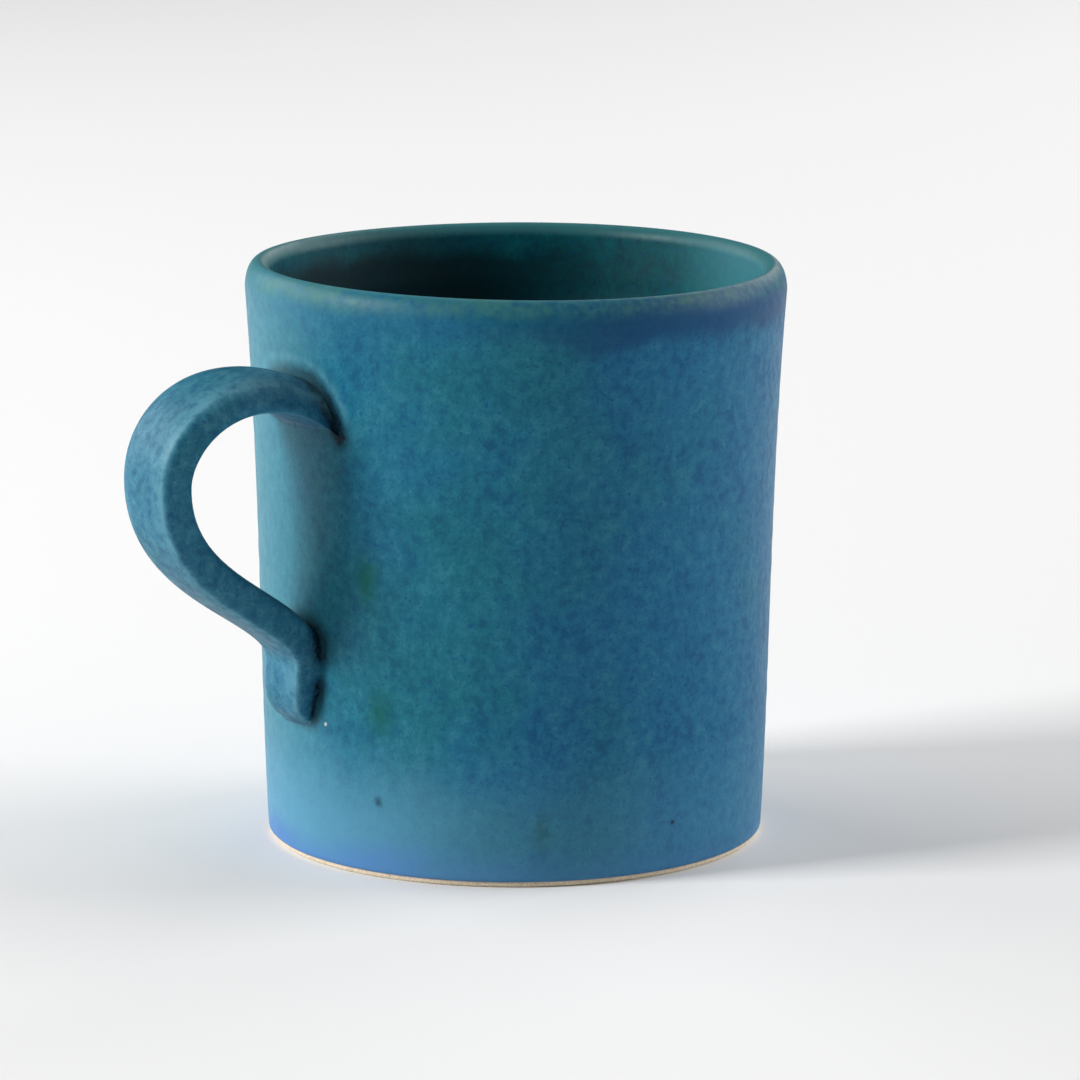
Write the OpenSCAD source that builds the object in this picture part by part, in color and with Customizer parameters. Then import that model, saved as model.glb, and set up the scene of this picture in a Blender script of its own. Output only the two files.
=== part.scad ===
// Shaving mug: a thrown stoneware pot with a pulled strap handle and a thin
// coat of satin glaze. The origin is the centre of the foot's resting plane,
// +Z is up and the handle is on the -X side.

/* [Pot] */
// Height of the mug at the crest of its lip
mug_h = 97; // [85:1:110]
// Outer radius at the foot, over the glaze
foot_r = 41.6; // [40:0.2:43]
// Outer radius of the widest part of the lip
lip_r = 45; // [44:0.2:48]
// How far the wall bellies out above the foot
belly = 1.3; // [0:0.1:2]
// How far the wall is drawn in under the flared top
draw_in = 2.4; // [1:0.1:3]
// Thickness of the wall, with its glaze
wall_t = 4; // [3.4:0.1:4.8]
// Thickness of the floor, over the turned recess
floor_t = 5.5; // [4.5:0.5:8]
// Radius of the corner between the wall and the floor
floor_corner_r = 6; // [3:0.5:9]

/* [Lip] */
// Height over which the outer side of the lip rolls over
lip_roll_h = 4.4; // [3:0.1:6]
// Height over which the inner side of the lip rolls over
lip_inner_h = 2.4; // [1.5:0.1:4]
// Distance of the crest in from the widest part of the lip
lip_roll_w = 2.2; // [1.6:0.1:2.6]

/* [Foot] */
// Depth of the recess turned into the underside
recess_depth = 1; // [0.5:0.1:1.5]
// Width of the flat foot ring
foot_ring_w = 5.8; // [4:0.2:9]
// Bevel on the outer edge of the foot
foot_bevel = 0.4; // [0.2:0.1:0.8]

/* [Glaze] */
// Thickness of a glaze coat
glaze_t = 0.4; // [0.3:0.05:0.6]
// Height of the bare clay band above the table
bare_band_h = 1.1; // [0.8:0.1:2]

/* [Handle] */
// Height where the middle of the strap meets the wall
root_z = 78.5; // [75:0.5:80]
// Angle at which the strap climbs away from the wall
root_rise = 33; // [25:1:42]
// Distance of the outermost point of the strap's middle line from the axis
reach = 70; // [66:0.5:76]
// Height of the outermost point of the strap's middle line
reach_z = 66.5; // [63:0.5:69]
// Height where the strap turns down along the wall
tail_top_z = 34.5; // [32:0.5:38]
// Height of the tip of the tail
tail_tip_z = 23; // [20:0.5:26]
// Width of the strap where it flares onto the wall
strap_root_w = 22; // [19:0.5:26]
// Width of the strap at its outermost point
strap_w = 12.5; // [12:0.5:18]
// Width of the strap at its tail
strap_tail_w = 10; // [9:0.5:13]
// Thickness of the strap
strap_t = 6; // [5:0.25:7]
// Extra thickness of the strap where it flares onto the wall
root_swell = 0.5; // [0:0.5:3]

/* [Hidden] */

$fn = 120;
eps = 0.01;
clay_color = "BlanchedAlmond";
slip_color = "Wheat";
glaze_color = "SteelBlue";
liner_color = "DarkSlateGray";
handle_glaze_color = "CadetBlue";

wall_steps = 12;
lip_steps = 6;
corner_steps = 6;

// Where the wall ends and the lip begins, outside and inside
lip_z = mug_h - lip_roll_h;
lip_inner_z = mug_h - lip_inner_h;
crest_r = lip_r - lip_roll_w;
inner_lip_r = lip_r - wall_t;
inner_foot_r = foot_r - wall_t;
floor_z = recess_depth + floor_t;

// The luting pads: their faces towards the strap are plain cylinders
upper_pad_r = lip_r - 0.3;
lower_pad_r = foot_r + 1.8;
upper_pad_w = strap_root_w + 1;
upper_pad_h = strap_t + root_swell + 5;
lower_pad_w = strap_tail_w + 1;
lower_pad_top_z = tail_top_z + 8;
lower_pad_foot_z = tail_tip_z - 1;

// The strap: rings along its middle line, and points round each ring
strap_steps = 18;
tail_steps = 8;
ring_points = 24;
section_power = 3.2;
root_depth = 4;
root_pull = 18.5;
top_pull = 10;
side_pull = 19;
tail_pull = 9.5;
tail_r = lower_pad_r + 0.7;

// One point of a cubic curve through a and d, pulled towards b and c
function curve(a, b, c, d, t) =
    pow(1 - t, 3) * a + 3 * pow(1 - t, 2) * t * b + 3 * (1 - t) * t * t * c + pow(t, 3) * d;

// Quarter of an oval roll around a centre, from one angle to another
function roll(centre, w, h, from, to) = [
    for (i = [0:lip_steps])
        let (a = from + (to - from) * i / lip_steps)
        centre + [w * cos(a), h * sin(a)]
];

// Outer side of the wall, from the bare band up to the lip; inset by the glaze for the clay
function outer_wall(inset) = [
    for (i = [0:wall_steps])
        curve([foot_r - inset, bare_band_h], [foot_r + belly - inset, lip_z * 0.27],
              [lip_r - draw_in - inset, lip_z * 0.65], [lip_r - inset, lip_z], i / wall_steps)
];

// Outer half of the lip, from the wall up to the crest
function outer_lip(inset) =
    roll([crest_r, lip_z], lip_roll_w - inset, lip_roll_h - inset, 0, 90);

// Inner half of the lip, from the crest down to the inner wall
function inner_lip(inset) =
    roll([crest_r, lip_inner_z], crest_r - inner_lip_r - inset, lip_inner_h - inset, 90, 180);

// Inner side of the wall, from the lip down to the corner at the floor
function inner_wall(inset) = [
    for (i = [1:wall_steps])
        curve([inner_lip_r + inset, lip_inner_z], [inner_lip_r - draw_in + inset, lip_z * 0.65],
              [inner_foot_r + belly + inset, lip_z * 0.27],
              [inner_foot_r + inset, floor_z + floor_corner_r], i / wall_steps)
];

// Rounded corner between the wall and the floor, ending on the floor
function floor_corner(inset) = [
    for (i = [1:corner_steps])
        let (a = 90 * i / corner_steps)
        [inner_foot_r - floor_corner_r + (floor_corner_r + inset) * cos(a),
         floor_z + floor_corner_r - (floor_corner_r + inset) * sin(a)]
];

function reversed(list) = [for (i = [len(list) - 1:-1:0]) list[i]];

// The clay pot's outer side, filled to the axis
module clay_solid() {
    rotate_extrude()
        polygon(concat([[0, bare_band_h]], outer_wall(glaze_t), outer_lip(glaze_t), [[0, mug_h - glaze_t]]));
}

// The thrown pot: wall, rolled lip, floor and turned foot ring
module clay_body() {
    clay_foot_r = foot_r - glaze_t;
    recess_r = clay_foot_r - foot_bevel - foot_ring_w;
    color(clay_color)
        rotate_extrude()
            polygon(concat(
                [[0, recess_depth], [recess_r - recess_depth, recess_depth], [recess_r, 0]],
                [[clay_foot_r - foot_bevel, 0], [clay_foot_r, foot_bevel]],
                outer_wall(glaze_t), outer_lip(glaze_t), inner_lip(glaze_t),
                inner_wall(glaze_t), floor_corner(glaze_t), [[0, floor_z - glaze_t]]
            ));
}

// Coat on the outside, open where the strap is luted on
module outer_glaze() {
    color(glaze_color)
        difference() {
            rotate_extrude()
                polygon(concat(outer_wall(0), outer_lip(0), reversed(outer_lip(glaze_t)),
                               reversed(outer_wall(glaze_t))));
            upper_patch();
            lower_patch();
        }
}

// Coat on the inside, down to the middle of the floor
module liner_glaze() {
    color(liner_color)
        rotate_extrude()
            polygon(concat(inner_lip(0), inner_wall(0), floor_corner(0),
                           [[0, floor_z], [0, floor_z - glaze_t]],
                           reversed(floor_corner(glaze_t)), reversed(inner_wall(glaze_t)),
                           reversed(inner_lip(glaze_t))));
}

// A slot outline with round ends, standing on the -X side of the pot
module patch(w, h, centre_z) {
    r = min(w, h) / 2;
    half_span = max(w, h) / 2 - r;
    turn = w > h ? 0 : 90;
    translate([-lip_r - 5, 0, centre_z])
        rotate([90, 0, 90])
            linear_extrude(lip_r)
                rotate(turn)
                    union() {
                        square([2 * half_span, 2 * r], center = true);
                        translate([half_span, 0]) circle(r);
                        translate([-half_span, 0]) circle(r);
                    }
}

module upper_patch() {
    patch(upper_pad_w, upper_pad_h, root_z - 0.5);
}

module lower_patch() {
    patch(lower_pad_w, lower_pad_top_z - lower_pad_foot_z, (lower_pad_top_z + lower_pad_foot_z) / 2);
}

// Slip between the clay wall and the flared end of the strap
module upper_join() {
    color(slip_color)
        difference() {
            intersection() {
                upper_patch();
                cylinder(r = upper_pad_r, h = mug_h);
            }
            clay_solid();
        }
}

// Slip between the clay wall and the tail of the strap
module lower_join() {
    color(slip_color)
        difference() {
            intersection() {
                lower_patch();
                cylinder(r = lower_pad_r, h = mug_h);
            }
            clay_solid();
        }
}

// Middle line of the strap as [distance from the axis, height]: out of the wall and
// over the top, down in a long S to the wall, then down the wall to the tip
root = [upper_pad_r - root_depth, root_z - root_depth * tan(root_rise)];
outermost = [reach, reach_z];
tail_top = [tail_r, tail_top_z];
function strap_point(i) =
    i <= strap_steps
    ? curve(root, root + root_pull * [cos(root_rise), sin(root_rise)],
            outermost + [0, top_pull], outermost, i / strap_steps)
    : i <= 2 * strap_steps
    ? curve(outermost, outermost - [0, side_pull], tail_top + [0, tail_pull], tail_top,
            i / strap_steps - 1)
    : tail_top - [0, (tail_top_z - tail_tip_z) * sin(90 * (i - 2 * strap_steps) / tail_steps)];

last_ring = 2 * strap_steps + tail_steps;

// Direction of the middle line at a ring
function strap_direction(i) =
    let (step = strap_point(min(i + 1, last_ring)) - strap_point(max(i - 1, 0)))
    step / norm(step);

// Width and thickness of the strap at a ring
function root_flare(i) = pow(max(0, 1 - i / strap_steps), 3);
function tail_end(i) =
    i <= 2 * strap_steps + tail_steps / 2
    ? 1
    : cos(80 * (i - 2 * strap_steps - tail_steps / 2) / (tail_steps / 2));
function strap_width(i) =
    (strap_w + (strap_root_w - strap_w) * root_flare(i)
     + (strap_tail_w - strap_w) * max(0, i - strap_steps) / (last_ring - strap_steps)) * tail_end(i);
function strap_thickness(i) =
    (strap_t + root_swell * root_flare(i)) * (0.4 + 0.6 * tail_end(i));

function signed_power(x, p) = sign(x) * pow(abs(x), p);

// One ring of points around the strap, grown outwards by the thickness of a coat
function strap_ring(i, grow) =
    let (middle = strap_point(i), along = strap_direction(i))
    let (w = strap_width(i) / 2 + grow, t = strap_thickness(i) / 2 + grow)
    [
        for (k = [0:ring_points - 1])
            let (a = 360 * k / ring_points)
            let (across = w * signed_power(cos(a), 2 / section_power))
            let (out = t * signed_power(sin(a), 2 / section_power))
            [-middle[0] - out * along[1], across, middle[1] - out * along[0]]
    ];

// Side faces between rings, starting at one point number; turned over for an inner surface
function tube_faces(start, inner) = [
    for (i = [0:last_ring - 1])
        for (k = [0:ring_points - 1])
            for (half = [0:1])
                let (next = (k + 1) % ring_points)
                let (a = start + i * ring_points)
                let (b = a + ring_points)
                let (face = half == 0 ? [a + k, a + next, b + next] : [a + k, b + next, b + k])
                inner ? reversed(face) : face
];

// Faces that close a ring onto a point in its middle
function cap_faces(start, point, turned) = [
    for (k = [0:ring_points - 1])
        let (face = [start + k, start + (k + 1) % ring_points, point])
        turned ? reversed(face) : face
];

function strap_points(grow) = [for (i = [0:last_ring]) each strap_ring(i, grow)];
function middle_point(i, shift) =
    let (p = strap_point(i) + shift * strap_direction(i))
    [-p[0], 0, p[1]];

// The strap before its ends are fitted to the pads
module strap_blank() {
    rim = last_ring * ring_points;
    count = rim + ring_points;
    polyhedron(
        points = concat(strap_points(0), [middle_point(0, 0), middle_point(last_ring, 0.2)]),
        faces = concat(tube_faces(0, false), cap_faces(0, count, true), cap_faces(rim, count + 1, false)),
        convexity = 6
    );
}

// The coat round the strap before its ends are fitted to the pads: open at the root, closed at the tip
module strap_coat_blank() {
    rim = last_ring * ring_points;
    count = rim + ring_points;
    polyhedron(
        points = concat(strap_points(glaze_t), strap_points(0),
                        [middle_point(last_ring, 0.2 + glaze_t), middle_point(last_ring, 0.2)]),
        faces = concat(
            tube_faces(0, false), tube_faces(count, true),
            cap_faces(rim, 2 * count, false), cap_faces(count + rim, 2 * count + 1, true),
            [for (k = [0:ring_points - 1])
                let (next = (k + 1) % ring_points)
                [k, count + k, count + next]],
            [for (k = [0:ring_points - 1])
                let (next = (k + 1) % ring_points)
                [k, count + next, next]]
        ),
        convexity = 8
    );
}

// What the strap is trimmed back to: the outer faces of the two pads
module pad_faces() {
    split_z = (root_z + tail_top_z) / 2;
    translate([0, 0, split_z])
        cylinder(r = upper_pad_r, h = mug_h - split_z);
    cylinder(r = lower_pad_r, h = split_z + eps);
}

// The pulled strap, luted on at the top and pressed down at the tail
module handle() {
    color(clay_color)
        difference() {
            strap_blank();
            pad_faces();
        }
}

// Coat all round the strap
module handle_glaze() {
    color(handle_glaze_color)
        difference() {
            strap_coat_blank();
            pad_faces();
        }
}

clay_body();
handle();
upper_join();
lower_join();
outer_glaze();
liner_glaze();
handle_glaze();
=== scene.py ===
import math

import bpy
import numpy as np
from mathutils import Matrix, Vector


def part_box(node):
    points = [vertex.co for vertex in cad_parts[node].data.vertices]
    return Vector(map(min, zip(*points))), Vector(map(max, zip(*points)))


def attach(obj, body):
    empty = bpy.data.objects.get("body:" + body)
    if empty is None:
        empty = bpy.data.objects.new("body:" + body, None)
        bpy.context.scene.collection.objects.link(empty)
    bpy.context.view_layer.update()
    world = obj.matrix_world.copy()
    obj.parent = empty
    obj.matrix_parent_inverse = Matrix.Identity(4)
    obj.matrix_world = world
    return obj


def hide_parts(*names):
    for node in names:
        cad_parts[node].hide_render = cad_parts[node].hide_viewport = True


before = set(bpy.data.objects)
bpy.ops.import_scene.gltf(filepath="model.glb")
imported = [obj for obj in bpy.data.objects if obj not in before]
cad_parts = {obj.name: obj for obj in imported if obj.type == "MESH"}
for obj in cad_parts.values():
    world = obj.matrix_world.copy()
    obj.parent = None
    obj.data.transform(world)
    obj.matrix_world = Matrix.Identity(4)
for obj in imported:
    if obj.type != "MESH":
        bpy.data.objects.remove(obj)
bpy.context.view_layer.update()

MM = 0.001


# ---------------------------------------------------------------------------
# Where the mug stands: a wide pale sheet of studio paper, lit by a soft key box
# high on the left, three weaker boxes behind it and beside it, and a bright wall
# on the right. The camera looks a little down on it, with the handle on its left.
# ---------------------------------------------------------------------------
scene = bpy.context.scene
scene.view_settings.view_transform = "Standard"
scene.view_settings.look = "None"

camera_turn = math.radians(-35)
camera_tilt = math.radians(11.5)
camera_distance = 1.0
look_height = 48 * MM
look_right = 4.3 * MM
look_up = 1.4 * MM

towards_camera = Vector((
    math.sin(camera_turn) * math.cos(camera_tilt),
    -math.cos(camera_turn) * math.cos(camera_tilt),
    math.sin(camera_tilt),
))
camera_right = Vector((math.cos(camera_turn), math.sin(camera_turn), 0))
camera_up = towards_camera.cross(camera_right)
eye = Vector((0, 0, look_height)) + towards_camera * camera_distance
aim = Vector((0, 0, look_height)) + camera_right * look_right + camera_up * look_up

camera_data = bpy.data.cameras.new("camera")
camera_data.lens = 198.5
camera_data.sensor_width = 36
camera = bpy.data.objects.new("camera", camera_data)
camera.location = eye
camera.rotation_euler = (aim - eye).to_track_quat("-Z", "Y").to_euler()
scene.collection.objects.link(camera)
scene.camera = camera

# The room: dark, with one bright wall on the right
wall_rise = 0.3
wall_falloff = 2
room = bpy.data.worlds.new("studio_room")
room.use_nodes = True
tree = room.node_tree
looking = tree.nodes.new("ShaderNodeTexCoord")
bright_wall = tree.nodes.new("ShaderNodeVectorMath")
bright_wall.operation = "DOT_PRODUCT"
bright_wall.inputs[1].default_value = (camera_right + Vector((0, 0, wall_rise))).normalized()
facing = tree.nodes.new("ShaderNodeMath")
facing.operation = "MAXIMUM"
facing.inputs[1].default_value = 0
falloff = tree.nodes.new("ShaderNodeMath")
falloff.operation = "POWER"
falloff.inputs[1].default_value = wall_falloff
tree.links.new(looking.outputs["Generated"], bright_wall.inputs[0])
tree.links.new(bright_wall.outputs["Value"], facing.inputs[0])
tree.links.new(facing.outputs[0], falloff.inputs[0])
tree.nodes["Background"].inputs["Color"].default_value = (1.0, 1.0, 1.0, 1)
tree.links.new(falloff.outputs[0], tree.nodes["Background"].inputs["Strength"])
scene.world = room


def soft_box(name, right, front, up, width, height, power, colour):
    """A rectangular soft box; right and front are measured from the mug, as the camera sees it."""
    data = bpy.data.lights.new(name, "AREA")
    data.shape = "RECTANGLE"
    data.size = width
    data.size_y = height
    data.energy = power
    data.color = colour
    box = bpy.data.objects.new(name, data)
    front_way = Vector((towards_camera.x, towards_camera.y, 0)).normalized()
    box.location = camera_right * right + front_way * front + Vector((0, 0, up))
    target = Vector((0, 0, look_height))
    box.rotation_euler = (target - box.location).to_track_quat("-Z", "Y").to_euler()
    scene.collection.objects.link(box)
    return box


soft_box("key_box", right=-1.43, front=0.46, up=0.84, width=0.5, height=0.5, power=27,
         colour=(1.0, 0.995, 0.985))
soft_box("left_back_box", right=-1.4, front=-0.68, up=0.66, width=1.5, height=1.0, power=15.5,
         colour=(1.0, 1.0, 1.0))
soft_box("right_fill", right=1.5, front=-0.4, up=0.8, width=1.0, height=1.2, power=15,
         colour=(1.0, 1.0, 0.99))
soft_box("back_fill", right=0.8, front=-1.5, up=0.9, width=1.2, height=1.0, power=10,
         colour=(1.0, 1.0, 0.99))

paper_size = 8.0
paper_white = (0.82, 0.82, 0.825, 1)
paper_roughness = 0.9
bpy.ops.object.select_all(action="DESELECT")
bpy.ops.mesh.primitive_plane_add(size=paper_size)
paper = bpy.context.object
paper.name = "paper_floor"
paper_finish = bpy.data.materials.new("studio_paper")
paper_finish.use_nodes = True
paper_shader = paper_finish.node_tree.nodes["Principled BSDF"]
paper_shader.inputs["Base Color"].default_value = paper_white
paper_shader.inputs["Roughness"].default_value = paper_roughness
paper.data.materials.append(paper_finish)


# ---------------------------------------------------------------------------
# The thrown pot: stoneware clay pulled up on the wheel in one piece, with a
# rolled lip, a nearly straight wall that flares at the top, a flat floor and a
# foot ring turned on the underside. Only its wiped foot stays bare of glaze.
# ---------------------------------------------------------------------------
glaze_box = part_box("outer_glaze")
mug_h = glaze_box[1][2]
lip_r = 45.0 * MM
foot_r = 41.6 * MM
belly = 1.3 * MM
draw_in = 2.4 * MM
wall_t = 4.0 * MM
floor_corner_r = 6.0 * MM
floor_z = 6.5 * MM
lip_roll_h = 4.4 * MM
lip_inner_h = 2.4 * MM
lip_roll_w = 2.2 * MM
recess_depth = 1.0 * MM
foot_ring_w = 5.8 * MM
foot_bevel = 0.4 * MM
glaze_t = 0.4 * MM
bare_band_h = 1.1 * MM

lip_z = mug_h - lip_roll_h
lip_inner_z = mug_h - lip_inner_h
crest_r = lip_r - lip_roll_w
inner_lip_r = lip_r - wall_t
inner_foot_r = foot_r - wall_t


# How far the pot came off true on the wheel and in the kiln
lean_turn = math.radians(-35)
lean_way = Vector((math.cos(lean_turn), math.sin(lean_turn), 0))
lean = 0.4 * MM
lip_dip = 0.35 * MM
lip_wave = 0.18 * MM
oval = 0.003
three_sided = 0.0015


def curve(a, b, c, d, t):
    """A point of the cubic curve from a to d that is pulled towards b and c."""
    a, b, c, d = (np.asarray(p, dtype=float) for p in (a, b, c, d))
    return (1 - t) ** 3 * a + 3 * (1 - t) ** 2 * t * b + 3 * (1 - t) * t * t * c + t ** 3 * d


def outer_wall(inset, steps):
    """The outer side of the wall, from the bare band to the lip, as (radius, height)."""
    return [
        curve((foot_r - inset, bare_band_h), (foot_r + belly - inset, lip_z * 0.27),
              (lip_r - draw_in - inset, lip_z * 0.65), (lip_r - inset, lip_z), i / steps)
        for i in range(steps + 1)
    ]


def roll(centre, w, h, start, end, steps):
    """Part of an oval from one angle to another, without its first point."""
    turn = [math.radians(start + (end - start) * i / steps) for i in range(1, steps + 1)]
    return [np.array((centre[0] + w * math.cos(a), centre[1] + h * math.sin(a))) for a in turn]


def outer_lip(inset, steps):
    return roll((crest_r, lip_z), lip_roll_w - inset, lip_roll_h - inset, 0, 90, steps)


def inner_lip(inset, steps):
    width = crest_r - inner_lip_r
    return roll((crest_r, lip_inner_z), width - inset, lip_inner_h - inset, 90, 180, steps)


def inner_wall(inset, steps):
    """The inner side of the wall, from the lip down to the corner at the floor."""
    return [
        curve((inner_lip_r + inset, lip_inner_z), (inner_lip_r - draw_in + inset, lip_z * 0.65),
              (inner_foot_r + belly + inset, lip_z * 0.27),
              (inner_foot_r + inset, floor_z + floor_corner_r), i / steps)
        for i in range(1, steps + 1)
    ]


def floor_corner(inset, steps):
    centre = (inner_foot_r - floor_corner_r, floor_z + floor_corner_r)
    radius = floor_corner_r + inset
    return roll(centre, radius, -radius, 0, 90, steps)


def hand_thrown(place):
    """Moves points off the true form, as a pot thrown by hand is: leaning a little,
    out of round towards the lip, with a lip that dips on one side."""
    x, y, z = place[:, 0].copy(), place[:, 1].copy(), place[:, 2]
    up = z / mug_h
    angle = np.arctan2(y, x)
    across = (x * lean_way.x + y * lean_way.y) / lip_r
    swell = 1 + up * (oval * np.cos(2 * angle + 0.7) + three_sided * np.cos(3 * angle - 1.1))
    place[:, 0] = x * swell + lean * up * lean_way.x
    place[:, 1] = y * swell + lean * up * lean_way.y
    place[:, 2] = z - lip_dip * across * up ** 3 + lip_wave * np.cos(2 * angle - 0.3) * up ** 6
    return place


def throwing_rings(place, depth, pitch):
    """Presses the shallow spiral that the fingers leave into the wall."""
    x, y, z = place[:, 0], place[:, 1], place[:, 2]
    angle = np.arctan2(y, x)
    turn = 2 * np.pi * z / pitch + angle
    strength = 0.55 + 0.45 * np.sin(2 * np.pi * z / (4.3 * pitch) + 1.3)
    fade = np.clip((z - 3 * MM) / (6 * MM), 0, 1) * np.clip((mug_h - 7 * MM - z) / (8 * MM), 0, 1)
    push = 1 + depth * np.sin(turn) * strength * fade / np.hypot(x, y).clip(10 * MM)
    place[:, 0] = x * push
    place[:, 1] = y * push
    return place


def points_of(piece):
    place = np.empty(len(piece.data.vertices) * 3)
    piece.data.vertices.foreach_get("co", place)
    return place.reshape(-1, 3)


def move_points(piece, place):
    piece.data.vertices.foreach_set("co", np.ascontiguousarray(place).ravel())
    piece.data.update()


def throw(name, outline, steps):
    """Draws an outline point by point and spins it round the pot's axis."""
    bpy.ops.object.select_all(action="DESELECT")
    bpy.ops.mesh.primitive_plane_add(size=1 * MM)
    piece = bpy.context.object
    piece.name = name
    piece.data.name = name
    bpy.ops.object.mode_set(mode="EDIT")
    bpy.ops.mesh.select_mode(type="VERT")
    bpy.ops.mesh.merge(type="CENTER")
    bpy.ops.transform.translate(value=(outline[0][0], 0, outline[0][1]))
    for here, there in zip(outline, outline[1:]):
        step = (there[0] - here[0], 0, there[1] - here[1])
        bpy.ops.mesh.extrude_region_move(TRANSFORM_OT_translate={"value": step})
    bpy.ops.mesh.select_all(action="SELECT")
    bpy.ops.mesh.remove_doubles(threshold=0.002 * MM)
    bpy.ops.mesh.spin(steps=steps, angle=2 * math.pi, center=(0, 0, 0), axis=(0, 0, 1))
    bpy.ops.mesh.select_all(action="SELECT")
    bpy.ops.mesh.remove_doubles(threshold=0.002 * MM)
    bpy.ops.mesh.delete_loose()
    bpy.ops.mesh.select_all(action="SELECT")
    bpy.ops.mesh.normals_make_consistent(inside=False)
    bpy.ops.object.mode_set(mode="OBJECT")
    return piece


def smooth(piece, degrees):
    bpy.ops.object.select_all(action="DESELECT")
    piece.select_set(True)
    bpy.context.view_layer.objects.active = piece
    bpy.ops.object.shade_smooth_by_angle(angle=math.radians(degrees))


clay_foot_r = foot_r - glaze_t
foot_flat_r = clay_foot_r - foot_bevel
recess_r = foot_flat_r - foot_ring_w
pot_outline = (
    [np.array(p) for p in (
        (0, recess_depth), (recess_r * 0.5, recess_depth), (recess_r - 1.6 * MM, recess_depth),
        (recess_r - 0.8 * MM, recess_depth - 0.2 * MM), (recess_r - 0.3 * MM, 0.3 * MM),
        (recess_r, 0.05 * MM), (recess_r + 0.4 * MM, 0), (foot_flat_r - 0.2 * MM, 0),
        (foot_flat_r, 0.02 * MM), (clay_foot_r - 0.1 * MM, foot_bevel * 0.6),
        (clay_foot_r, foot_bevel * 1.4),
    )]
    + outer_wall(glaze_t, 40) + outer_lip(glaze_t, 8) + inner_lip(glaze_t, 8)
    + inner_wall(glaze_t, 40) + floor_corner(glaze_t, 8)
    + [np.array((r, floor_z - glaze_t)) for r in (20 * MM, 10 * MM, 0)]
)
pot = throw("thrown_pot", pot_outline, 192)
move_points(pot, hand_thrown(points_of(pot)))
smooth(pot, 50)


def coordinates(tree, scale=(1, 1, 1)):
    """Object coordinates in metres, stretched by scale."""
    source = tree.nodes.new("ShaderNodeTexCoord")
    mapping = tree.nodes.new("ShaderNodeMapping")
    mapping.inputs["Scale"].default_value = scale
    tree.links.new(source.outputs["Object"], mapping.inputs["Vector"])
    return mapping.outputs["Vector"]


def noise(tree, vector, size, detail=2.0, roughness=0.5):
    """Noise whose blobs are about size metres across."""
    node = tree.nodes.new("ShaderNodeTexNoise")
    node.inputs["Scale"].default_value = 1 / size
    node.inputs["Detail"].default_value = detail
    node.inputs["Roughness"].default_value = roughness
    tree.links.new(vector, node.inputs["Vector"])
    return node.outputs["Fac"]


def ramp(tree, value, low, high, start=0.0, end=1.0):
    """Turns value from low..high into start..end, smoothly and clamped."""
    node = tree.nodes.new("ShaderNodeMapRange")
    node.interpolation_type = "SMOOTHSTEP"
    node.inputs["From Min"].default_value = low
    node.inputs["From Max"].default_value = high
    node.inputs["To Min"].default_value = start
    node.inputs["To Max"].default_value = end
    tree.links.new(value, node.inputs["Value"])
    return node.outputs["Result"]


def maths(tree, operation, a, b=None, clamp=False):
    node = tree.nodes.new("ShaderNodeMath")
    node.operation = operation
    node.use_clamp = clamp
    for socket, value in zip(node.inputs, (a, b)):
        if value is None:
            continue
        if isinstance(value, (int, float)):
            socket.default_value = value
        else:
            tree.links.new(value, socket)
    return node.outputs[0]


def mix_colour(tree, factor, a, b, blend="MIX"):
    node = tree.nodes.new("ShaderNodeMix")
    node.data_type = "RGBA"
    node.blend_type = blend
    sockets = (node.inputs[0], node.inputs[6], node.inputs[7])
    for socket, value in zip(sockets, (factor, a, b)):
        if isinstance(value, (int, float)):
            socket.default_value = value
        elif isinstance(value, tuple):
            socket.default_value = (*value, 1)
        else:
            tree.links.new(value, socket)
    return node.outputs[2]


def new_finish(name):
    finish = bpy.data.materials.new(name)
    finish.use_nodes = True
    return finish, finish.node_tree, finish.node_tree.nodes["Principled BSDF"]


# Bare stoneware: cream body with sandy grog, a few iron specks and a toasted line
# where it meets the glaze
clay_cream = (0.74, 0.63, 0.46)
clay_pale = (0.82, 0.72, 0.56)
clay_grog = (0.62, 0.50, 0.35)
iron_brown = (0.20, 0.12, 0.07)
toasted = (0.60, 0.34, 0.26)
clay_finish, tree, shader = new_finish("bare_stoneware")
where = coordinates(tree)
grain = noise(tree, where, 0.5 * MM, 3)
blush = noise(tree, where, 9 * MM, 2)
body = mix_colour(tree, ramp(tree, blush, 0.3, 0.7), clay_cream, clay_pale)
body = mix_colour(tree, ramp(tree, grain, 0.35, 0.75), body, clay_grog)
iron = ramp(tree, noise(tree, where, 0.35 * MM, 1), 0.70, 0.78)
body = mix_colour(tree, iron, body, iron_brown)
split = tree.nodes.new("ShaderNodeSeparateXYZ")
tree.links.new(where, split.inputs[0])
toast = ramp(tree, split.outputs["Z"], bare_band_h - 0.5 * MM, bare_band_h)
body = mix_colour(tree, maths(tree, "MULTIPLY", toast, 0.6), body, toasted)
tree.links.new(body, shader.inputs["Base Color"])
tree.links.new(ramp(tree, grain, 0.2, 0.8, 0.72, 0.92), shader.inputs["Roughness"])
bump = tree.nodes.new("ShaderNodeBump")
bump.inputs["Strength"].default_value = 0.5
bump.inputs["Distance"].default_value = 0.08 * MM
tree.links.new(grain, bump.inputs["Height"])
tree.links.new(bump.outputs["Normal"], shader.inputs["Normal"])
pot.data.materials.append(clay_finish)
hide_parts("clay_body")
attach(pot, "root")


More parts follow.
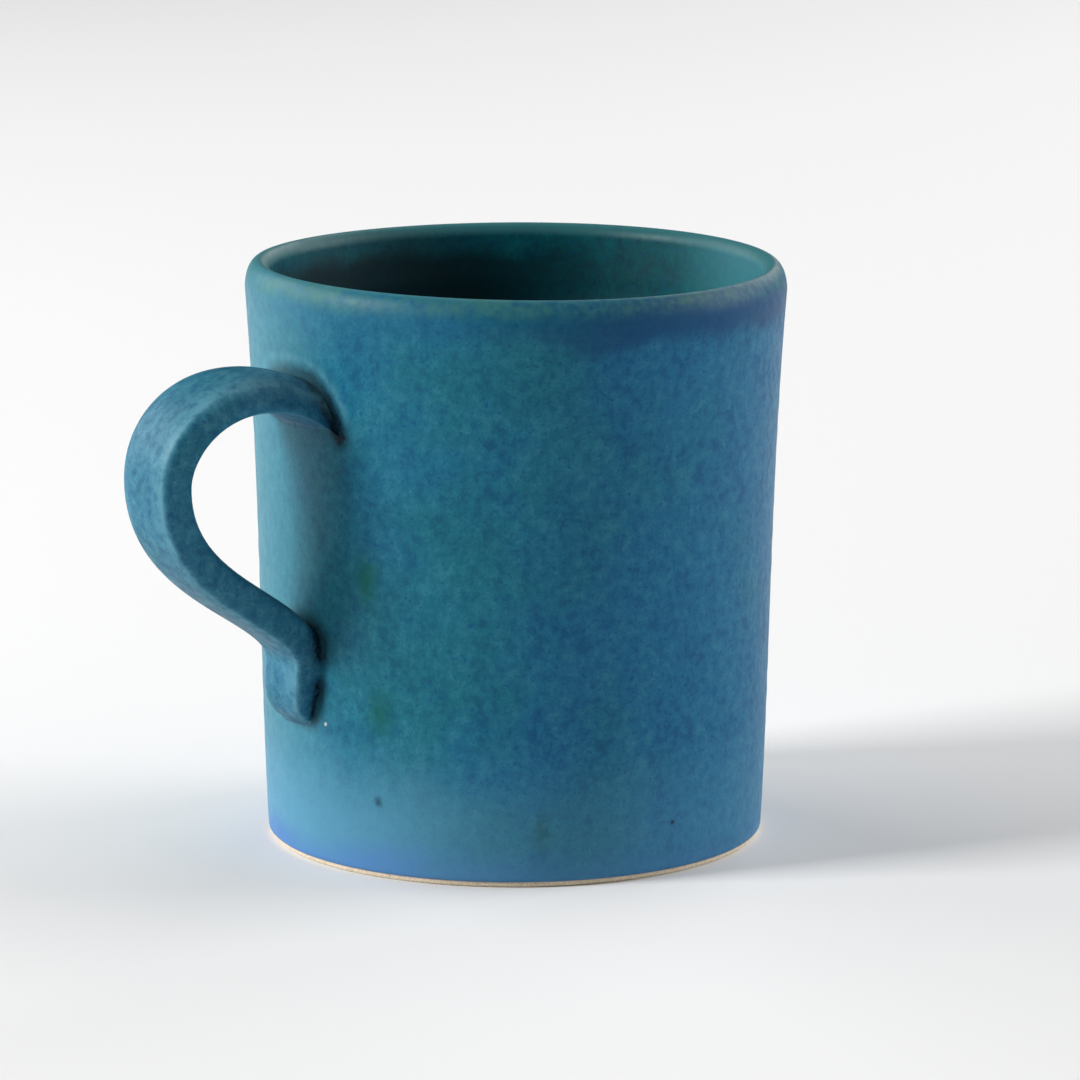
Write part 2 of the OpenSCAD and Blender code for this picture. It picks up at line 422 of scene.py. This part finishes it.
# ---------------------------------------------------------------------------
# The pulled strap: a tongue of clay pulled by hand, bent into an ear and stuck
# on with slip. Its top end is spread over the wall; its lower end comes in on a
# long S, turns down and is pressed flat into a short tail with a round tip.
# ---------------------------------------------------------------------------
reach = 70.2 * MM
reach_z = 66.5 * MM
root_rise = math.radians(33)
strap_w = 12.4 * MM
strap_root_w = 21.4 * MM
root_droop = 8.5 * MM
far_droop = 0.35
strap_tail_w = 9.8 * MM
strap_t = 6.0 * MM
strap_tail_t = 5.4 * MM
tail_lean = 2.2 * MM
slip_t = 0.5 * MM
ring_points = 72
free_rings = 64
root_rings = 22
tail_rings = 44

root_start = np.array((40.0, 75.6)) * MM
root_pull = 19.4 * MM * np.array((math.cos(root_rise), math.sin(root_rise)))
outermost = np.array((reach, reach_z))
tail_top = np.array((44.2, 34.5)) * MM
tail_end = np.array((38.5, 26.4)) * MM
strap_lines = (
    (root_start, root_start + root_pull, outermost + (0, 10.2 * MM), outermost),
    (outermost, outermost - (0, 18.7 * MM), tail_top + (0, 9.6 * MM), tail_top),
    (tail_top, tail_top - (0, 7 * MM), tail_end + (5.8 * MM, 0.2 * MM), tail_end),
)


def rounded(x, t):
    """Turns a cosine or sine into that of a squarer oval; the root is the roundest part."""
    return np.sign(x) * np.abs(x) ** (2 / np.interp(t, (0.3, 0.8), (2.6, 4.2)))


def strap_line(t):
    """The strap's middle line as (distance from the axis, height): the root at 0, the
    outermost point at 1, the top of the tail at 2 and its tip at 3."""
    part = min(int(t), 2)
    return curve(*strap_lines[part], t - part)


def strap_way(t):
    step = strap_line(min(t + 0.004, 3)) - strap_line(max(t - 0.004, 0))
    return step / np.linalg.norm(step)


def strap_width(t):
    if t <= 1:
        return strap_w + (strap_root_w - strap_w) * (1 - t) ** 1.3
    tip = math.sqrt(1 - (max(t - 2.2, 0) / 0.9) ** 2)
    return (strap_w + (strap_tail_w - strap_w) * min(t - 1, 1)) * tip


ring_angle = np.linspace(0, 2 * np.pi, ring_points, endpoint=False)
ring_cos, ring_sin = np.cos(ring_angle), np.sin(ring_angle)


def round_the_ring(far_side, far_top, outer, near_top, near_side, near_under, inner, far_under):
    """A number for each of a ring's points, blended between its sides and corners."""
    corners = (far_side, far_top, outer, near_top, near_side, near_under, inner, far_under, far_side)
    return np.interp(np.degrees(ring_angle), np.arange(0, 361, 45), corners)


def strap_ring(t, inset):
    """One ring round the strap: angle 0 is its +Y edge, 90 degrees its outer face."""
    middle, way = strap_line(t), strap_way(t)
    half_w = strap_width(t) / 2 + glaze_t - inset
    half_t = np.interp(t, (1, 2), (strap_t, strap_tail_t)) / 2 + glaze_t - inset
    across, lift = half_w * rounded(ring_cos, t), half_t * rounded(ring_sin, t)
    edge = (across / (strap_root_w / 2)) ** 4 * (1 + lift / half_t) / 2
    edge *= np.where(across > 0, far_droop, 1.0)
    droop = root_droop * max(0, 1 - t / 0.7) * edge
    lean = tail_lean * max(0, t - 2)
    return np.stack((-(middle[0] - lift * way[1]), across + lean,
                     middle[1] + lift * way[0] - droop), axis=1)


wall_line = np.array(outer_wall(0, 80))


def wall_radius(z):
    return np.interp(z, wall_line[:, 1], wall_line[:, 0])


def height_over_wall(place, inset):
    return np.hypot(place[..., 0], place[..., 1]) - wall_radius(place[..., 2]) + inset


def smear(place, middle, inset, width):
    """Spreads the strap out where it comes near the wall, in a round fillet of that width."""
    height = height_over_wall(place, inset)
    out = place * (1, 1, 0)
    out /= np.linalg.norm(out, axis=1)[:, None]
    aside = place - middle
    aside -= (aside * out).sum(axis=1)[:, None] * out
    aside /= np.linalg.norm(aside, axis=1)[:, None].clip(1e-9)
    near = np.clip(1 - height / width, 0, 1)
    return place + aside * (width * (1 - np.sqrt(1 - near ** 2)))[:, None]


# How wide the clay was thumbed out on to the wall, by side and corner of the strap
root_smear = MM * round_the_ring(1.4, 0.6, 0.1, 0.05, 0.1, 0.5, 0.9, 1.2)
tail_smear = MM * round_the_ring(3.2, 2.4, 0.7, 0.1, 0.05, 0.1, 0.6, 1.8)


def strap_surface(inset, end_height):
    """The rings of the strap, each line along it ending at that height over the wall."""
    samples = np.linspace(0, 3, 601)
    swept = np.array([strap_ring(t, inset) for t in samples])
    height = height_over_wall(swept, inset) - end_height
    half = len(samples) // 3
    leaves, lands = np.empty(ring_points), np.empty(ring_points)
    for k in range(ring_points):
        above = height[:, k] > 0
        i = np.flatnonzero(~above[:half])[-1]
        leaves[k] = np.interp(0, height[i:i + 2, k], samples[i:i + 2])
        j = half + np.flatnonzero(~above[half:])[0]
        lands[k] = np.interp(0, height[[j, j - 1], k], samples[[j, j - 1]])
    first, last = leaves.max() + 0.04, lands.min() - 0.04

    def slanted(times, widths):
        rings = np.array([strap_ring(t, inset) for t in times])
        place = rings[np.arange(ring_points), np.arange(ring_points)]
        middle = np.array([strap_line(t) for t in times])
        middle = np.stack((-middle[:, 0], np.zeros(ring_points), middle[:, 1]), axis=1)
        return smear(place, middle, inset, widths)

    blend = [(i / root_rings) ** 1.7 for i in range(root_rings)]
    rings = [slanted(leaves + (first - leaves) * b, root_smear) for b in blend]
    for i in range(free_rings + 1):
        t = first + (last - first) * i / free_rings
        widths = root_smear if t < 1 else tail_smear
        rings.append(slanted(np.full(ring_points, t), widths))
    blend = [1 - (1 - i / tail_rings) ** 1.5 for i in range(1, tail_rings + 1)]
    rings += [slanted(last + (lands - last) * b, tail_smear) for b in blend]
    return rings


def shrunk(ring, part, height, inset):
    """A ring drawn in towards its own middle and laid at that height over the wall."""
    place = ring.mean(axis=0) + (ring - ring.mean(axis=0)) * part
    reach_now = np.hypot(place[:, 0], place[:, 1])
    push = (wall_radius(place[:, 2]) - inset + height) / reach_now
    return place * np.stack((push, push, np.ones(len(push))), axis=1)


def paint(piece, name, values):
    """Gives each of a piece's points a value that its material can read."""
    layer = piece.data.attributes.new(name, "FLOAT", "POINT")
    layer.data.foreach_set("value", np.clip(values, 0, 1).astype(np.float32))


def pull_strap(name, rings, worn_edge_and_highlight=None):
    """Extrudes a ring again and again, sets each ring in its place and joins what meets."""
    bpy.ops.object.select_all(action="DESELECT")
    bpy.ops.mesh.primitive_circle_add(vertices=ring_points, radius=strap_w / 2)
    piece = bpy.context.object
    piece.name = name
    piece.data.name = name
    bpy.ops.object.mode_set(mode="EDIT")
    for _ in rings[1:]:
        bpy.ops.mesh.extrude_region_move(TRANSFORM_OT_translate={"value": (0, 0, 1 * MM)})
    bpy.ops.object.mode_set(mode="OBJECT")
    move_points(piece, hand_thrown(np.concatenate(rings)))
    # Paints the glaze's pale break, with a painted highlight along the strap's top ridge and outer face
    if worn_edge_and_highlight is not None:
        paint(piece, "break_and_highlight", worn_edge_and_highlight)
    bpy.ops.object.mode_set(mode="EDIT")
    bpy.ops.mesh.select_all(action="SELECT")
    bpy.ops.mesh.remove_doubles(threshold=0.001 * MM)
    bpy.ops.mesh.normals_make_consistent(inside=False)
    bpy.ops.object.mode_set(mode="OBJECT")
    return piece


clay_rings = strap_surface(glaze_t, slip_t)
cap_parts = (0.0, 0.35, 0.7, 0.9)
strap = pull_strap("pulled_strap",
                   [shrunk(clay_rings[0], part, slip_t, glaze_t) for part in cap_parts]
                   + clay_rings
                   + [shrunk(clay_rings[-1], part, slip_t, glaze_t) for part in reversed(cap_parts)])
smooth(strap, 50)
strap.data.materials.append(clay_finish)
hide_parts("handle")
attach(strap, "root")


# ---------------------------------------------------------------------------
# The slip at the two joins: wet clay brushed on and squeezed out to the edge of
# the strap when it is pressed against the wall. Glaze covers it all round.
# ---------------------------------------------------------------------------
slip_dark = (0.66, 0.55, 0.40)
slip_light = (0.78, 0.69, 0.54)
slip_finish, tree, shader = new_finish("slip_clay")
where = coordinates(tree)
body = mix_colour(tree, ramp(tree, noise(tree, where, 2 * MM, 3), 0.3, 0.7), slip_dark, slip_light)
tree.links.new(body, shader.inputs["Base Color"])
brushed = noise(tree, coordinates(tree, (1, 1, 0.2)), 0.4 * MM, 2)
tree.links.new(ramp(tree, brushed, 0.2, 0.8, 0.75, 0.95), shader.inputs["Roughness"])

slip_parts = (0, 0.5, 0.85, 1)
wall_rings = strap_surface(glaze_t, 0)
for name, node_name, end in (("upper_slip", "upper_join", 0), ("lower_slip", "lower_join", -1)):
    wall_ring, strap_end = wall_rings[end], clay_rings[end]
    slip = pull_strap(name, [shrunk(wall_ring, part, 0, glaze_t) for part in slip_parts]
                      + [shrunk(strap_end, part, slip_t, glaze_t) for part in reversed(slip_parts)])
    smooth(slip, 40)
    slip.data.materials.append(slip_finish)
    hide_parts(node_name)
    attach(slip, "root")


# ---------------------------------------------------------------------------
# The glaze on the strap: a satin-matt stoneware glaze, taken up when the mug was
# dipped. It breaks pale over the strap's edges, with a painted highlight along its top
# ridge and outer face, and runs thick and dark into the creases where the strap meets
# the wall, as pooled glaze with painted crease shade.
# ---------------------------------------------------------------------------
glaze_relief = 0.06 * MM
coat_sink = 0.06 * MM
strap_teal = (0.018, 0.150, 0.215)
strap_blue = (0.024, 0.158, 0.262)
strap_pale = (0.095, 0.300, 0.390)
thick_tint = (0.35, 0.58, 0.78)
ring_tint = (0.55, 0.72, 0.80)
grain_tint = (0.40, 0.62, 0.76)
cobalt_speck = (0.002, 0.065, 0.20)
# Pooled glaze, with painted crease shade, where the strap meets the wall
pool_and_shade_dark = (0.001, 0.009, 0.020)
# Pale broken glaze, also the colour of the painted highlight on the strap
worn_and_highlight_white = (0.28, 0.52, 0.62)

# How pale the coat breaks, with a painted highlight on the top ridge and outer face, by side and corner
# of the strap
edge_wear_and_highlight = 0.9 * round_the_ring(0.0, 0.65, 0.60, 0.95, 0.0, 0.4, 0.0, 0.3) ** 4

# How dark the glaze pooled at the strap's two ends, with painted crease shade, and how far it reaches
# from them
root_pool_shade = round_the_ring(0.1, 0.7, 1.5, 1.7, 1.3, 0.3, 0.1, 0.1)
tail_pool_shade = round_the_ring(0.0, 0.0, 0.25, 0.4, 0.9, 1.3, 0.9, 0.1)
root_reach = MM * round_the_ring(1.0, 1.2, 1.5, 1.8, 1.5, 1.6, 2.0, 1.6)
tail_reach = MM * round_the_ring(1.0, 1.0, 0.9, 1.0, 1.3, 2.2, 2.2, 1.2)
crease_room = 22 * MM

coat_rings = strap_surface(0.0, -coat_sink)
under_rings = strap_surface(glaze_t, 0.0)
bare_under = np.zeros(ring_points * len(under_rings))
edge_wear_and_highlight = np.concatenate((np.tile(edge_wear_and_highlight, len(coat_rings)), bare_under, edge_wear_and_highlight))
handle_coat = pull_strap("handle_coat", coat_rings + under_rings[::-1] + coat_rings[:1], edge_wear_and_highlight)
smooth(handle_coat, 60)

root_line = hand_thrown(coat_rings[0].copy())
tail_line = hand_thrown(coat_rings[-1].copy())


def bump_of(distance, width):
    return np.exp(-(distance / width) ** 2)


def gaps_to(line, place):
    """Which points lie about an end of the strap, and their distances from its ring's points."""
    close = np.flatnonzero(np.abs(place - line.mean(axis=0)).max(axis=1) < crease_room)
    return close, np.linalg.norm(place[close, None, :] - line[None], axis=2)


def pooled_and_shaded(place):
    """How much glaze has run together at each point, from the creases outwards, and how much crease shade
    is painted there.
    """
    pool_and_shade = np.zeros(len(place))
    for line, strength, width in ((root_line, root_pool_shade, root_reach), (tail_line, tail_pool_shade, tail_reach)):
        close, gap = gaps_to(line, place)
        pool_and_shade[close] = np.maximum(pool_and_shade[close], (bump_of(gap, width) * strength).max(axis=1))
    return pool_and_shade


paint(handle_coat, "pool_and_shade", pooled_and_shaded(points_of(handle_coat)))

# The glaze as a group: clouds of two colours, streaks, mottling and specks, darker where it
# pools in a crease, with painted crease shade, and paler where it breaks over an edge, with painted
# highlight
glaze_group = bpy.data.node_groups.new("stoneware_glaze", "ShaderNodeTree")
for direction, sockets in (
    ("INPUT", (("Teal", "Color"), ("Blue", "Color"), ("Pale", "Color"),
               ("Blue Share", "Float"), ("Pool And Shade", "Float"), ("Break And Highlight", "Float"))),
    ("OUTPUT", (("Colour", "Color"), ("Roughness", "Float"), ("Height", "Float"))),
):
    for name, kind in sockets:
        glaze_group.interface.new_socket(name, in_out=direction, socket_type="NodeSocket" + kind)
tree = glaze_group
inputs = tree.nodes.new("NodeGroupInput").outputs
outputs = tree.nodes.new("NodeGroupOutput").inputs
where = coordinates(tree)
cloud = noise(tree, where, 26 * MM, 3)
share = maths(tree, "ADD", inputs["Blue Share"], ramp(tree, cloud, 0.3, 0.7, -0.4, 0.4))
colour = mix_colour(tree, ramp(tree, share, 0.0, 1.0), inputs["Teal"], inputs["Blue"])
streak = noise(tree, coordinates(tree, (1, 1, 0.55)), 5 * MM, 3)
mottle = noise(tree, coordinates(tree, (1, 1, 0.9)), 1.7 * MM, 4, 0.62)
depth = maths(tree, "ADD", ramp(tree, streak, 0.25, 0.75, -0.28, 0.28),
              ramp(tree, mottle, 0.32, 0.68, -0.6, 0.6))
colour = mix_colour(tree, ramp(tree, depth, 0.0, 0.9, 0.0, 0.42), colour, inputs["Pale"])
colour = mix_colour(tree, ramp(tree, depth, -0.9, 0.0, 0.8, 0.0), colour, thick_tint, "MULTIPLY")
thrown = noise(tree, coordinates(tree, (0.12, 0.12, 1)), 1.3 * MM, 2)
colour = mix_colour(tree, ramp(tree, thrown, 0.35, 0.7, 0.0, 0.22), colour, ring_tint, "MULTIPLY")
grain = noise(tree, where, 0.38 * MM, 2)
colour = mix_colour(tree, ramp(tree, grain, 0.40, 0.62, 0.38, 0.0), colour, grain_tint, "MULTIPLY")
fleck = noise(tree, where, 0.75 * MM, 2)
colour = mix_colour(tree, ramp(tree, fleck, 0.58, 0.72, 0.0, 0.7), colour, cobalt_speck)
pin = noise(tree, where, 0.42 * MM, 1)
colour = mix_colour(tree, ramp(tree, pin, 0.62, 0.78, 0.0, 0.25), colour, inputs["Pale"])
# Darker pooled glaze, with painted crease shade, in the creases at the joins
pool_and_shade = maths(tree, "MULTIPLY", inputs["Pool And Shade"], ramp(tree, fleck, 0.35, 0.6, 1.25, 0.85), clamp=True)
colour = mix_colour(tree, pool_and_shade, colour, pool_and_shade_dark)
# Paler where the glaze breaks, and painted highlight on the strap's ridge and outer face
broken_and_highlit = maths(tree, "MULTIPLY", inputs["Break And Highlight"], ramp(tree, mottle, 0.3, 0.6, 0.5, 1.1), clamp=True)
worn_and_highlit = mix_colour(tree, 0.2, inputs["Pale"], worn_and_highlight_white)
colour = mix_colour(tree, broken_and_highlit, colour, worn_and_highlit)
tree.links.new(colour, outputs["Colour"])
tree.links.new(ramp(tree, mottle, 0.25, 0.75, 0.50, 0.40), outputs["Roughness"])
peel = maths(tree, "ADD", noise(tree, where, 0.9 * MM, 2), maths(tree, "MULTIPLY", mottle, 0.6))
tree.links.new(peel, outputs["Height"])


def glaze_coat(tree, shader, teal, blue, pale, share, pool_and_shade, broken_and_highlit):
    """Puts the glaze group into a material and its relief on the shader."""
    shader.inputs["Specular IOR Level"].default_value = 0.15
    group = tree.nodes.new("ShaderNodeGroup")
    group.node_tree = glaze_group
    for name, value in (("Teal", teal), ("Blue", blue), ("Pale", pale)):
        group.inputs[name].default_value = (*value, 1)
    for name, value in (("Blue Share", share), ("Pool And Shade", pool_and_shade), ("Break And Highlight", broken_and_highlit)):
        if isinstance(value, (int, float)):
            group.inputs[name].default_value = value
        else:
            tree.links.new(value, group.inputs[name])
    tree.links.new(group.outputs["Roughness"], shader.inputs["Roughness"])
    bump = tree.nodes.new("ShaderNodeBump")
    bump.inputs["Strength"].default_value = 0.35
    bump.inputs["Distance"].default_value = glaze_relief
    tree.links.new(group.outputs["Height"], bump.inputs["Height"])
    tree.links.new(bump.outputs["Normal"], shader.inputs["Normal"])
    return group.outputs["Colour"]


def painted(tree, name):
    """A value that the piece's own points carry."""
    node = tree.nodes.new("ShaderNodeAttribute")
    node.attribute_name = name
    return node.outputs["Fac"]


strap_finish, tree, shader = new_finish("strap_glaze")
colour = glaze_coat(tree, shader, strap_teal, strap_blue, strap_pale,
                    0.5, painted(tree, "pool_and_shade"), painted(tree, "break_and_highlight"))
tree.links.new(colour, shader.inputs["Base Color"])
handle_coat.data.materials.append(strap_finish)
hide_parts("handle_glaze")
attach(handle_coat, "root")


# ---------------------------------------------------------------------------
# The glaze on the outside: the mug was dipped to just above its foot, so the coat
# runs from a wiped edge to the crest of the lip. It is teal towards the handle,
# bluer round the other side, thin and violet at the foot, navy under the lip, with
# a painted sheen on the side facing the lights on the left and pooled glaze with
# painted crease shade at the handle's joins.
# ---------------------------------------------------------------------------
dip_turn = math.radians(-35)
dip_way = Vector((math.cos(dip_turn), math.sin(dip_turn), 0))
coat_columns = 300
fine_side = math.pi + 0.15
fine_crowding = 0.6
coat_ring_depth = 0.03 * MM
coat_ring_pitch = 5.5 * MM
crest_band = 0.40 * MM
crest_fade = 0.30 * MM
crest_wear = 0.55
rim_gap = 2.9 * MM
rim_width = 0.7 * MM
rim_wear = 0.9
rim_strength = round_the_ring(0.0, 0.5, 0.6, 0.5, 0.1, 0.0, 0.0, 0.0)

wall_teal = (0.010, 0.152, 0.205)
wall_blue = (0.011, 0.142, 0.272)
wall_pale = (0.042, 0.230, 0.310)
left_sheen_blue = (0.085, 0.290, 0.370)
foot_blue = (0.105, 0.310, 0.470)
foot_violet = (0.080, 0.215, 0.480)
band_navy = (0.002, 0.052, 0.150)
lip_teal = (0.035, 0.165, 0.170)
lip_green = (0.075, 0.215, 0.150)

# Smudges, spots and a speck: (degrees round the pot, height, half width, half height in
# millimetres, strength, colour)
front_turn = -125
marks = (
    (-34, 50, 2.6, 4.4, 0.8, (0.001, 0.095, 0.066)),
    (-31, 28, 2.8, 4.6, 0.75, (0.001, 0.088, 0.072)),
    (6, 9, 1.6, 3.4, 0.4, (0.016, 0.070, 0.060)),
    (38, 9, 0.5, 0.45, 0.9, (0.004, 0.008, 0.020)),
    (-32, 13, 1.0, 1.0, 0.7, (0.004, 0.040, 0.060)),
    (-47, 24.5, 0.35, 0.35, 0.9, (0.60, 0.68, 0.66)),
)

glaze_edge = [
    np.array((foot_r - 0.25 * MM, bare_band_h - 0.15 * MM)),
    np.array((foot_r - 0.05 * MM, bare_band_h + 0.05 * MM)),
]
coat_outline = (
    [np.array((foot_r - glaze_t, bare_band_h))] + glaze_edge
    + outer_wall(0, 200)[1:] + outer_lip(0, 16)
    + list(reversed(outer_lip(glaze_t, 8))) + list(reversed(outer_wall(glaze_t, 40)))
)


def crowd(place, middle_way, strength):
    """Draws a spun piece's columns together on one side, where it has fine detail."""
    x, y = place[:, 0].copy(), place[:, 1].copy()
    angle = np.arctan2(y, x) - middle_way
    turn = -strength * np.sin(angle)
    place[:, 0] = x * np.cos(turn) - y * np.sin(turn)
    place[:, 1] = x * np.sin(turn) + y * np.cos(turn)
    return place


coat = throw("outer_coat", coat_outline, coat_columns)
place = throwing_rings(crowd(points_of(coat), fine_side, fine_crowding), coat_ring_depth, coat_ring_pitch)
crest = np.clip((place[:, 2] - mug_h + crest_band) / crest_fade, 0, 1)
move_points(coat, hand_thrown(place))
smooth(coat, 60)

place = points_of(coat)
close, gap = gaps_to(root_line, place)
pale_rim = np.zeros(len(place))
pale_rim[close] = bump_of(gap.min(axis=1) - rim_gap, rim_width) * rim_strength[gap.argmin(axis=1)]
# Darker by the joins: pooled glaze with painted crease shade
paint(coat, "pool_and_shade", pooled_and_shaded(place))
paint(coat, "break_and_highlight", pale_rim * rim_wear + crest * crest_wear)


def vector_maths(tree, operation, vector, by=None):
    node = tree.nodes.new("ShaderNodeVectorMath")
    node.operation = operation
    tree.links.new(vector, node.inputs[0])
    if by is not None:
        node.inputs[1].default_value = by
    return node.outputs


def across_the_pot(tree, where):
    """How far a point lies towards the side that was dipped deepest, which also faces away from the
    lights on the left.
    """
    return vector_maths(tree, "DOT_PRODUCT", where, dip_way)["Value"]


def height_of(tree, where):
    split = tree.nodes.new("ShaderNodeSeparateXYZ")
    tree.links.new(where, split.inputs[0])
    return split.outputs["Z"]


wall_finish, tree, shader = new_finish("dipped_glaze")
where = coordinates(tree)
across = across_the_pot(tree, where)
up = height_of(tree, where)
share = ramp(tree, across, -30 * MM, 32 * MM, 0.05, 1.0)
colour = glaze_coat(tree, shader, wall_teal, wall_blue, wall_pale,
                    share, painted(tree, "pool_and_shade"), painted(tree, "break_and_highlight"))
wobble = maths(tree, "MULTIPLY", maths(tree, "SUBTRACT", noise(tree, where, 14 * MM, 2), 0.5), 10 * MM)
height = maths(tree, "ADD", up, wobble)

# Painted sheen: paler on the side facing the lights on the left. Thin, pale and violet glaze towards the
# foot, painted stronger on that lit side
lit_side_share = ramp(tree, across, -38 * MM, 10 * MM, 1.3, 0.38)
colour = mix_colour(tree, ramp(tree, across, -26 * MM, -42 * MM, 0.0, 0.45), colour, left_sheen_blue)
low = ramp(tree, height, 6 * MM, 26 * MM, 0.6, 0.0)
colour = mix_colour(tree, maths(tree, "MULTIPLY", low, lit_side_share), colour, foot_blue)
violet = ramp(tree, height, 0.5 * MM, 7 * MM, 0.75, 0.0)
colour = mix_colour(tree, maths(tree, "MULTIPLY", violet, lit_side_share), colour, foot_violet)

# Navy under the lip, and teal with green patches on it
navy_side = ramp(tree, across, -20 * MM, 28 * MM, 0.15, 0.85)
navy = maths(tree, "MULTIPLY", ramp(tree, height, mug_h - 9.5 * MM, mug_h - 5.5 * MM), navy_side)
colour = mix_colour(tree, navy, colour, band_navy)
lip_height = maths(tree, "ADD", up, maths(tree, "MULTIPLY", wobble, 0.25))
lip = ramp(tree, lip_height, mug_h - 4.2 * MM, mug_h - 1.2 * MM, 0.0, 0.5)
patchy = ramp(tree, noise(tree, where, 1.3 * MM, 3), 0.35, 0.65, 0.35, 1.35)
colour = mix_colour(tree, maths(tree, "MULTIPLY", lip, patchy), colour, lip_teal)
greenish = ramp(tree, noise(tree, where, 9 * MM, 2), 0.50, 0.62, 0.0, 0.5)
colour = mix_colour(tree, maths(tree, "MULTIPLY", lip, greenish), colour, lip_green)

ragged = maths(tree, "MULTIPLY", maths(tree, "SUBTRACT", noise(tree, where, 1.2 * MM, 3), 0.5), 1.3)
for turn, z, half_width, half_height, strength, tint in marks:
    way = math.radians(front_turn + turn)
    radius = wall_radius(z * MM)
    spot = Vector((radius * math.cos(way), radius * math.sin(way), z * MM))
    away = vector_maths(tree, "SUBTRACT", where, spot)["Vector"]
    size = (half_width * MM, half_width * MM, half_height * MM)
    distance = vector_maths(tree, "LENGTH", vector_maths(tree, "DIVIDE", away, size)["Vector"])["Value"]
    edge = maths(tree, "ADD", distance, ragged)
    colour = mix_colour(tree, ramp(tree, edge, 1.4, 0.0, 0.0, strength), colour, tint)
tree.links.new(colour, shader.inputs["Base Color"])
coat.data.materials.append(wall_finish)
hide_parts("outer_glaze")
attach(coat, "root")


# ---------------------------------------------------------------------------
# The liner: the same glaze poured in, swilled round and tipped out. Painted shade makes it
# nearly black down the side nearer the lights, and painted light makes it paler teal on the
# far side. It meets the outer coat at the crest of the lip.
# ---------------------------------------------------------------------------
liner_ring_depth = 0.12 * MM
liner_ring_pitch = 6.5 * MM
liner_crest_band = 0.55 * MM
liner_crest_fade = 0.35 * MM
liner_teal = (0.001, 0.085, 0.100)
liner_blue = (0.001, 0.085, 0.110)
liner_pale = (0.006, 0.150, 0.160)
liner_lit_pale = (0.055, 0.240, 0.285)
liner_shade_dark = (0.0003, 0.012, 0.018)
liner_lip = (0.035, 0.150, 0.160)

liner_outline = (
    [np.array((crest_r, mug_h))] + inner_lip(0, 14) + inner_wall(0, 110) + floor_corner(0, 12)
    + [np.array((r, floor_z)) for r in (24 * MM, 16 * MM, 8 * MM, 0)]
    + [np.array((r, floor_z - glaze_t)) for r in (0, 16 * MM)]
    + list(reversed(floor_corner(glaze_t, 8))) + list(reversed(inner_wall(glaze_t, 40)))
    + list(reversed(inner_lip(glaze_t, 8)))
    + [np.array((crest_r, mug_h - glaze_t)), np.array((crest_r, mug_h))]
)
liner = throw("liner_coat", liner_outline, 216)
place = throwing_rings(points_of(liner), liner_ring_depth, liner_ring_pitch)
crest = np.clip((place[:, 2] - mug_h + liner_crest_band) / liner_crest_fade, 0, 1)
move_points(liner, hand_thrown(place))
smooth(liner, 60)
paint(liner, "break_and_highlight", crest * crest_wear)

liner_finish, tree, shader = new_finish("poured_glaze")
where = coordinates(tree)
across = across_the_pot(tree, where)
up = height_of(tree, where)
colour = glaze_coat(tree, shader, liner_teal, liner_blue, liner_pale, 0.4, 0.0, painted(tree, "break_and_highlight"))
shader.inputs["Specular IOR Level"].default_value = 0.16
# Painted light: paler on the inside wall across from the lights, where light falls in
lit_inside = ramp(tree, across, 24 * MM, 40 * MM, 0.0, 0.6)
colour = mix_colour(tree, lit_inside, colour, liner_lit_pale)
# Painted shade: nearly black down the inside wall nearer the lights, fading out below the lip
shaded_inside = ramp(tree, across, 32 * MM, -4 * MM, 0.0, 0.85)
uneven = maths(tree, "MULTIPLY", noise(tree, where, 12 * MM, 2), 8 * MM)
below_lip = ramp(tree, maths(tree, "ADD", up, uneven), mug_h + 2.5 * MM, mug_h - 3 * MM)
colour = mix_colour(tree, maths(tree, "MULTIPLY", shaded_inside, below_lip), colour, liner_shade_dark)
lip = ramp(tree, up, mug_h - 2.2 * MM, mug_h - 0.9 * MM, 0.0, 0.7)
colour = mix_colour(tree, lip, colour, liner_lip)
tree.links.new(colour, shader.inputs["Base Color"])
liner.data.materials.append(liner_finish)
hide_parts("liner_glaze")
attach(liner, "root")
